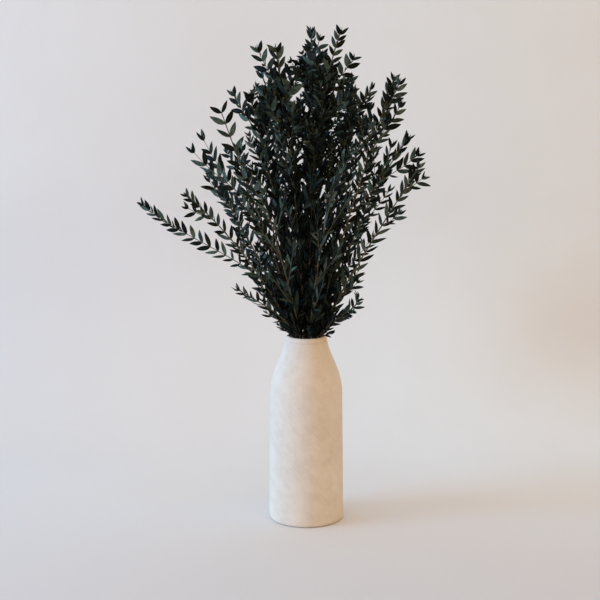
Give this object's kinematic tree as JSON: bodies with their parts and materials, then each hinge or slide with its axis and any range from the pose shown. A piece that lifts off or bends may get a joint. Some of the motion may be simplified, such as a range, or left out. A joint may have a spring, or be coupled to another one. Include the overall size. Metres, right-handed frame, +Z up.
{
  "type": "vase of preserved parvifolia eucalyptus",
  "caption": "Matte off-white ceramic bottle vase holding an upright, spreading bunch of dark green preserved eucalyptus with narrow leaves in opposite pairs.",
  "frame": {"origin": "centre of the vase's flat underside, on the surface it stands on", "axes": "+Z up along the vase's axis; +X to the right and +Y into the picture, as the picture shows the bunch"},
  "size_m": [0.3787, 0.2995, 0.6548],
  "materials": {
    "ceramic": "matte",
    "foliage": "satin"
  },
  "bodies": {
    "root": {"vase": "ceramic", "stem_front_tall": "foliage", "stem_right_tall": "foliage", "stem_crown": "foliage", "stem_right_fork": "foliage", "stem_right_upper": "foliage", "stem_right_mid": "foliage", "stem_right_low": "foliage", "stem_right_skirt": "foliage", "stem_left_upper": "foliage", "stem_left_broad": "foliage", "stem_left_curl": "foliage", "stem_left_low": "foliage", "stem_left_skirt": "foliage", "stem_front_right": "foliage", "stem_front_left": "foliage", "stem_back_crown": "foliage", "stem_back_left": "foliage", "stem_back_right": "foliage", "stem_back_low": "foliage", "stem_back_side": "foliage"}
  },
  "joints": []
}
